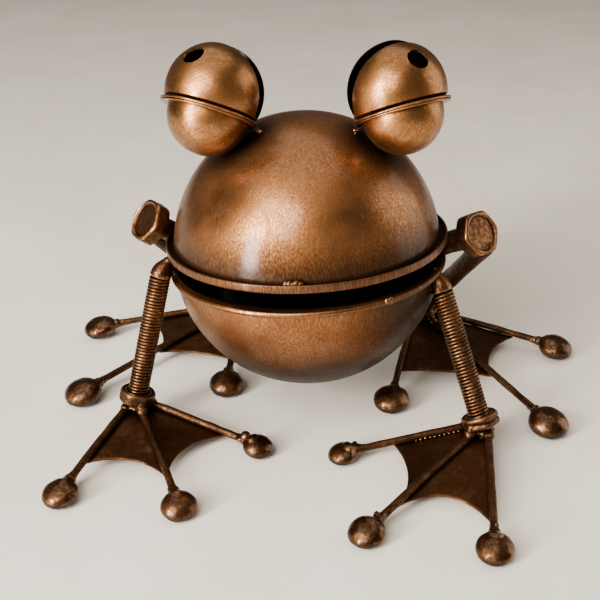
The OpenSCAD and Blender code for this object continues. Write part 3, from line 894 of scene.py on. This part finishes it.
def hex_solid(across_flats, height, bore, dish_d, dish_depth, corner_r, edge=0.9, groove=0.0):
    """A nut with a bore, or a bolt head with a dish in its face at z = 0.

    Each row is a radius, a height, and how round the outline is there.
    """
    half = across_flats / 2
    if bore:
        eased = bore / 2 + 0.5
        start = [(bore / 2, height * 0.5, 1), (bore / 2, 0.5, 1), (eased, 0, 1)]
        finish = ([(r, height - deep, 1) for r, deep in WASHER_GROOVE]
                  + [(eased, height, 1), (bore / 2, height - 0.5, 1)])
    else:
        start = [(0, dish_depth, 1), (dish_d * 0.2, dish_depth, 1),
                 (dish_d * 0.42, dish_depth, 1), (dish_d / 2 - 0.5, dish_depth - 0.1, 1),
                 (dish_d / 2 - 0.1, dish_depth * 0.5, 1), (dish_d / 2 + 0.3, 0.12, 1),
                 (dish_d / 2 + 0.7, 0, 0.9)]
        finish = [(half * 0.5, height, 1), (0, height, 1)]
    waist = 0.3 * bool(groove)
    side = [(half - edge, 0.05, 0.55), (half - 0.45 * edge, 0.35 * edge, 0.3),
            (half - 0.1 * edge, 0.8 * edge, 0.08), (half, 1.4 * edge, 0),
            (half, height * 0.35, 0), (half - groove, height * 0.46, waist),
            (half - groove, height * 0.54, waist), (half, height * 0.65, 0),
            (half, height - 1.1 * edge, 0), (half - 0.25 * edge, height - 0.5 * edge, 0.15),
            (half - 0.8 * edge, height, 0.5)]
    rings = lathe_rings(start + side + finish, HEX_STEPS, hexagon(across_flats, corner_r))
    return skin(rings, closed=bool(bore))


def knee(name, side):
    face, out = at_foot(KNEE[name]), unit(KNEE_OUT[name])
    place = along(face, -out)
    head = hex_solid(BOLT_AF, BOLT_HEAD, 0, BOLT_AF - DISH_RIM, DISH_DEPTH,
                     corner_radius(BOLT_AF))
    shank = tube([(0, 0, z) for z in np.linspace(BOLT_HEAD - 1, BOLT_HEAD + SHANK_L, 40)],
                 BOLT_D / 2, 48, (False, False))
    verts, faces = joined([head, shank])
    verts = placed(wobble(verts, 0.2, 6.0, 31 + side), place)
    piece(f"{name}_knee_bolt", raw_mesh("bolt", outside_ball(verts), faces), "frog",
          BOLT, [f"{name}_knee_bolt"], sharp=60)
    top = face - out * BOLT_HEAD * 0.6 + np.array(SHIN_TOP[name])
    foot = at_foot(FEET["rear_" + name]["ankle"])
    way = unit(foot - top)
    path = np.linspace(top, foot + way * (NUT_H / 2 - SEAT_GAP), 40)
    verts, faces = tube(path, SHIN_D / 2, 40, (True, False))
    verts = wobble(verts, 0.25, 9.0, 41 + side)
    piece(f"{name}_shin", raw_mesh("shin", verts, faces), "frog", ROD,
          [f"{name}_shin"], sharp=60)
    return way


shin_way = {"left": knee("left", 1), "right": knee("right", -1)}


# ---------------------------------------------------------------- feet
def foot_frame(foot):
    """Ankle, toe directions, rod ends and pad centres of a foot, in the frame's axes."""
    ankle = at_foot(foot["ankle"])
    ground = np.array([ankle[0], ankle[1], 0.0])
    toes = []
    for k in range(3):
        a = math.radians(foot["angle"][k])
        way = np.array([foot["side"] * math.sin(a), -math.cos(a), 0.0])
        r = foot["pad"][k]
        pad = ground + way * foot["reach"][k] + UP * (r * PAD_FLAT - PAD_SINK)
        aside = (1 - k) * ROOT_ASIDE * foot["side"] * np.array([-way[1], way[0], 0.0])
        root = ground + way * foot["ahead"][k] + aside + UP * ROOT_Z
        toes.append(dict(way=way, pad=pad, r=r, root=root, tip=pad + UP * PAD_GRIP))
    return ankle, ground, toes


ROD_BEND = 0.35


def rod_path(toe, seed):
    """A toe rod's middle line, with the slight bend of hand-set rod."""
    s = np.linspace(0, 1, ROD_POINTS)[:, None]
    line = toe["root"] * (1 - s) + toe["tip"] * s
    side = np.cross(toe["way"], UP)
    arch = np.sin(math.pi * s)
    return line + side * (ROD_BEND * math.sin(seed * 2.1)) * arch + UP * ROD_BEND * arch


def toe_pieces(name, foot, k, toe, seed):
    rng = np.random.default_rng(100 + seed)
    path = rod_path(toe, seed)
    back = unit(path[-8] - path[-1])
    m = turn("Z", math.degrees(math.atan2(toe["way"][1], toe["way"][0]))) @ turn("Y", PAD_DROOP)
    r = toe["r"]
    pebble = ball(toe["pad"], (r, r, r * PAD_FLAT), m, 56, 36)
    centre = path[-1]
    s = np.linspace(0, 1, 16)[:, None]
    neck_path = centre + back * (r * 0.45 + (r * 0.95) * s)
    flare = ROD_D / 2 + 0.25 + 2.9 * (1 - s[:, 0]) ** 2.0
    parts = [pebble, tube(neck_path, flare, 28)]
    collar = centre + back * (r * 1.02) + UP * 0.4
    parts.append(ball(collar, (2.7, 2.7, 2.3)))
    for _ in range(3):
        at = collar + back * rng.uniform(-2.2, 1.6) + rng.normal(size=3) * (0.9, 0.9, 0.5)
        parts.append(ball(at, rng.uniform(1.2, 2.0, 3)))
    mesh = fused(parts, 0.35, 6, 0.16, 2.4, seed)
    co = coordinates(mesh)
    co[:, 2] = np.maximum(co[:, 2], 0.0)
    move_points(mesh, co)
    toe_name = TOES[k]
    middle = toe["pad"][2]
    # painted shade: each pad darker below its middle
    piece(f"{name}_{toe_name}_pad", mesh, foot["body"], PAD,
          [f"{name}_{toe_name}_pad"], wear=0.5,
          painted_shade=lambda co: 0.78 * smooth(co[:, 2], middle + PAD_UNDERSIDE_SHADE[0], middle + PAD_UNDERSIDE_SHADE[1]))
    length = np.linalg.norm(path[-1] - path[0])
    stop = int(np.ceil(ROD_POINTS * (1 - (r * 0.7) / length)))
    thick = ROD_D / 2 + 0.05 * np.sin(np.arange(stop) * 0.9 + seed)
    verts, faces = tube(path[:stop], thick, 24)
    verts = wobble(verts, 0.14, 5.0, seed)
    piece(f"{name}_{toe_name}_toe", raw_mesh("rod", verts, faces), foot["body"],
          ROD, [f"{name}_{toe_name}_toe"], wear=0.45)
    return path


def web_sheet(foot, paths, a, b, hollow, seed):
    """One sheet between two toes, hollow along its free edge, with rounded edges."""
    drop = UP * (-ROD_D / 2 - WEB_T / 2 + 0.15)
    across, out = 48, 36
    ends = [paths[a][0] + (paths[a][-1] - paths[a][0]) * foot["web"][a],
            paths[b][0] + (paths[b][-1] - paths[b][0]) * foot["web"][b]]
    root = (paths[a][0] + paths[b][0]) / 2
    chord = ends[1] - ends[0]
    inward = root - (ends[0] + ends[1]) / 2
    inward = unit(inward - chord * (inward @ chord) / (chord @ chord))
    sag = hollow * np.linalg.norm(chord)
    u = np.linspace(0, 1, across + 1)
    grid = np.zeros((across + 1, out + 1, 3))
    for i, x in enumerate(u):
        edge = ends[0] + chord * x + inward * sag * (1 - (2 * x - 1) ** 2)
        start = paths[a][0] * (1 - x) + paths[b][0] * x
        v = np.linspace(0, 1, out + 1)[:, None]
        line = start * (1 - v) + edge * v
        belly = 4 * x * (1 - x) * np.sin(math.pi * np.minimum(v, 0.999)) * 0.5
        grid[i] = line + drop - UP * belly
    flat = grid.reshape(-1, 3)
    flat = flat + UP * (0.28 * field(flat, 9.0, seed))[:, None]
    grid = flat.reshape(grid.shape)
    normal = unit(np.cross(grid[-1, -1] - grid[0, 0], grid[0, -1] - grid[0, 0]))
    normal = normal if normal[2] > 0 else -normal
    outline = ([(i, 0) for i in range(across)] + [(across, j) for j in range(out)]
               + [(i, out) for i in range(across, 0, -1)] + [(0, j) for j in range(out, 0, -1)])
    n_top = (across + 1) * (out + 1)
    top = (grid + normal * WEB_T / 2).reshape(-1, 3)
    low = (grid - normal * WEB_T / 2).reshape(-1, 3)
    verts = list(top) + list(low)
    faces = []

    def at(i, j, layer=0):
        return layer * n_top + i * (out + 1) + j

    for i in range(across):
        for j in range(out):
            faces.append((at(i, j), at(i + 1, j), at(i + 1, j + 1), at(i, j + 1)))
            faces.append((at(i, j, 1), at(i, j + 1, 1), at(i + 1, j + 1, 1), at(i + 1, j, 1)))
    centre = grid.mean(axis=(0, 1))
    rim = []
    for i, j in outline:
        p = grid[i, j]
        away = p - centre
        away = unit(away - normal * (away @ normal))
        rim.append(len(verts))
        verts.append(p + away * WEB_T * 0.35)
    count = len(outline)
    for k in range(count):
        (i, j), (i2, j2) = outline[k], outline[(k + 1) % count]
        faces.append((at(i, j), at(i2, j2), rim[(k + 1) % count], rim[k]))
        faces.append((at(i, j, 1), rim[k], rim[(k + 1) % count], at(i2, j2, 1)))
    return np.array(verts), faces


def nut(name, foot, way, bore, seed, worn, groove):
    """An ankle nut with a washer ring, on the weld that holds it to the rods."""
    ankle, ground, toes = foot_frame(foot)
    place = along(ankle - way * NUT_H / 2, way)
    body = hex_solid(NUT_AF, NUT_H, bore, 0, 0, corner_radius(NUT_AF) - worn, 0.8, groove)
    verts = placed(wobble(body[0], 0.2, 5.0, seed), place)
    front = unit(toes[1]["way"])
    rng = np.random.default_rng(seed)
    knob = ground + front * 4.5 + UP * (ROOT_Z + 0.5)
    parts = [ball(ground + UP * (WELD_Z - 2.2), MOUND),
             ball(knob + front * 2.2 + UP * 3.2, KNOB_HIGH),
             ball(knob + front * 4.4 + UP * 0.6, KNOB_LOW)]
    for toe in toes:
        parts.append(ball(toe["root"] + toe["way"] * 5.5, (2.5, 2.5, 2.2)))
        parts.append(tube(np.linspace(toe["root"], toe["root"] + toe["way"] * 6, 6), 2.25, 20))
    for _ in range(SPATTER):
        a = rng.uniform(0, 2 * math.pi)
        at = ground + (BEAD_OUT * math.cos(a), BEAD_OUT * math.sin(a), rng.uniform(10.8, 13.2))
        parts.append(ball(at, rng.uniform(1.3, 2.2, 3)))
    weld = fused(parts, 0.4, 6, 0.2, 1.8, seed)
    verts, faces = joined([(verts, body[1]), as_solid(weld)])
    piece(f"{name}_nut", raw_mesh("nut", verts, faces), foot["body"], NUT,
          [f"{name}_nut"], sharp=60)


for foot_seed, (foot_name, foot) in enumerate(FEET.items()):
    toes = foot_frame(foot)[2]
    side_name = foot_name.split("_")[1]
    front = foot_name.startswith("front")
    paths = [toe_pieces(foot_name, foot, k, toes[k], 10 * foot_seed + k) for k in range(3)]
    sheets = [web_sheet(foot, paths, k, k + 1, foot["hollow"][k], 60 + 2 * foot_seed + k)
              for k in (0, 1)]
    piece(f"{foot_name}_web", raw_mesh("web", *joined(sheets)), foot["body"], WEB,
          [f"{foot_name}_web"], sharp=70, wear=0.35)
    way = -leg_way(side_name) if front else -shin_way[side_name]
    bore = SPRING_D + BORE_PLAY if front else SHIN_D
    nut(foot_name, foot, way, bore, 50 + foot_seed, *NUT_WEAR.get(foot_name, (0.0, 0.0)))


def beads(name, body, places, size, seed):
    """Loose beads of weld metal lying on the work."""
    rng = np.random.default_rng(seed)
    parts = [ball(p, size * rng.uniform(0.75, 1.25, 3), None, 16, 10) for p in places]
    mesh = fused(parts, 0.22, 3, 0.06, 0.8, seed)
    piece(name, mesh, body, BOLT, wear=0.5)


def on_shell(turned, height, reach):
    """A point of the head or jaw, by its turn from straight ahead and its height."""
    a = math.radians(turned)
    return placed([(reach * math.sin(a), -reach * math.cos(a), height)], head_place)[0]


# small beads along the inner toe's seam, on the lip, under the rim and on an inner pad
seamed_toe = foot_frame(FEET["front_left"])[2][2]
seam_start, seam_end = seamed_toe["root"], seamed_toe["tip"]
seam_drop = np.array([0, -1.7, -1.0])
beads("front_left_seam_beads", "front_left_foot",
      [seam_start * (1 - s) + seam_end * s + seam_drop for s in np.linspace(0.14, 0.46, 10)],
      0.62, 81)
lip_weld = [on_shell(-5.0 + 1.3 * k, MOUTH_HALF + LIP_H + 0.5 * (k % 2), LIP_R - 2.0)
            for k in range(-2, 3)]
beads("lip_weld_beads", "frog", lip_weld, 1.5, 83)
beads("jaw_rim_drop", "frog",
      [on_shell(31 + k, -MOUTH_HALF - 0.6, BALL_R + JAW_BEAD - 0.6) for k in (0, 1.6)], 1.6, 85)
inner_pad = foot_frame(FEET["front_right"])[2][2]["pad"]
beads("inner_pad_drop", "front_right_foot", [inner_pad + (-6.2, 1.8, 4.6)], 2.5, 87)


# ---------------------------------------------------------------- floor, light and camera
# metres, watts and degrees
FLOOR_HALF, FLOOR_DROP = 4.0, 0.0002
WORLD_TINT, WORLD_POWER = colour(0.86, 0.76, 0.64), 0.13
DAYLIGHT, WARM_LIGHT = (1.0, 0.95, 0.88), (1.0, 0.90, 0.78)
# name, place, aimed at, width and height, power, tint
LIGHTS = (
    ("window", (-0.86, -0.93, 0.42), (0, 0, 0.09), (0.26, 0.80), 44.0, DAYLIGHT),
    ("room", (-0.46, -0.85, 0.95), (0, 0, 0.08), (0.8, 0.7), 20.0, DAYLIGHT),
    ("ceiling", (-0.2, 0.1, 1.5), (0, 0, 0.0), (2.0, 1.6), 14.0, DAYLIGHT),
    ("wall", (1.0, 0.28, 0.42), (0, 0, 0.09), (0.8, 0.9), 5.5, WARM_LIGHT),
)
CAMERA_FROM_BALL = np.array([33.4, -419.7, 195.5])
CAMERA_LENS, CAMERA_SENSOR = 57.0, 36.0
CAMERA_DIP, CAMERA_TURN = 28.1, 5


def floor_finish():
    m = bpy.data.materials.new("floor_paint")
    m.use_nodes = True
    n = Nodes(m)
    place = n.make("ShaderNodeTexCoord").outputs["Object"]
    cloud = n.noise(place, 9.0, 5.0, 0.6)
    tint = n.mix(n.span(cloud, 0.35, 0.7), colour(0.82, 0.755, 0.655), colour(0.89, 0.83, 0.74))
    shader = n.make("ShaderNodeBsdfPrincipled", {"Base Color": tint, "Roughness": 0.34})
    n.make("ShaderNodeOutputMaterial", {"Surface": shader.outputs[0]})
    return m


floor_mesh = bpy.data.meshes.new("floor")
corners = ((-1, -1), (1, -1), (1, 1), (-1, 1))
floor_mesh.from_pydata([(FLOOR_HALF * x, FLOOR_HALF * y, 0) for x, y in corners], [],
                       [(0, 1, 2, 3)])
floor = bpy.data.objects.new("floor", floor_mesh)
floor.data.materials.append(floor_finish())
floor.location.z = -FLOOR_DROP
bpy.context.scene.collection.objects.link(floor)

world = bpy.data.worlds.new("studio")
world.use_nodes = True
world.node_tree.nodes["Background"].inputs[0].default_value = WORLD_TINT
world.node_tree.nodes["Background"].inputs[1].default_value = WORLD_POWER
bpy.context.scene.world = world


def soft_light(name, location, target, size, power, tint):
    light = bpy.data.lights.new(name, "AREA")
    light.shape = "RECTANGLE"
    light.size, light.size_y = size
    light.energy = power
    light.color = tint
    obj = bpy.data.objects.new(name, light)
    obj.location = location
    obj.rotation_euler = (Vector(target) - Vector(location)).to_track_quat("-Z", "Y").to_euler()
    bpy.context.scene.collection.objects.link(obj)


for row in LIGHTS:
    soft_light(*row)

camera = bpy.data.objects.new("camera", bpy.data.cameras.new("camera"))
camera.data.lens = CAMERA_LENS
camera.data.sensor_width = CAMERA_SENSOR
camera.data.clip_start = 0.01
camera.location = (BALL_AT + CAMERA_FROM_BALL) * MM
camera.rotation_euler = (math.radians(90 - CAMERA_DIP), 0, math.radians(CAMERA_TURN))
bpy.context.scene.collection.objects.link(camera)
bpy.context.scene.camera = camera

bpy.context.view_layer.update()
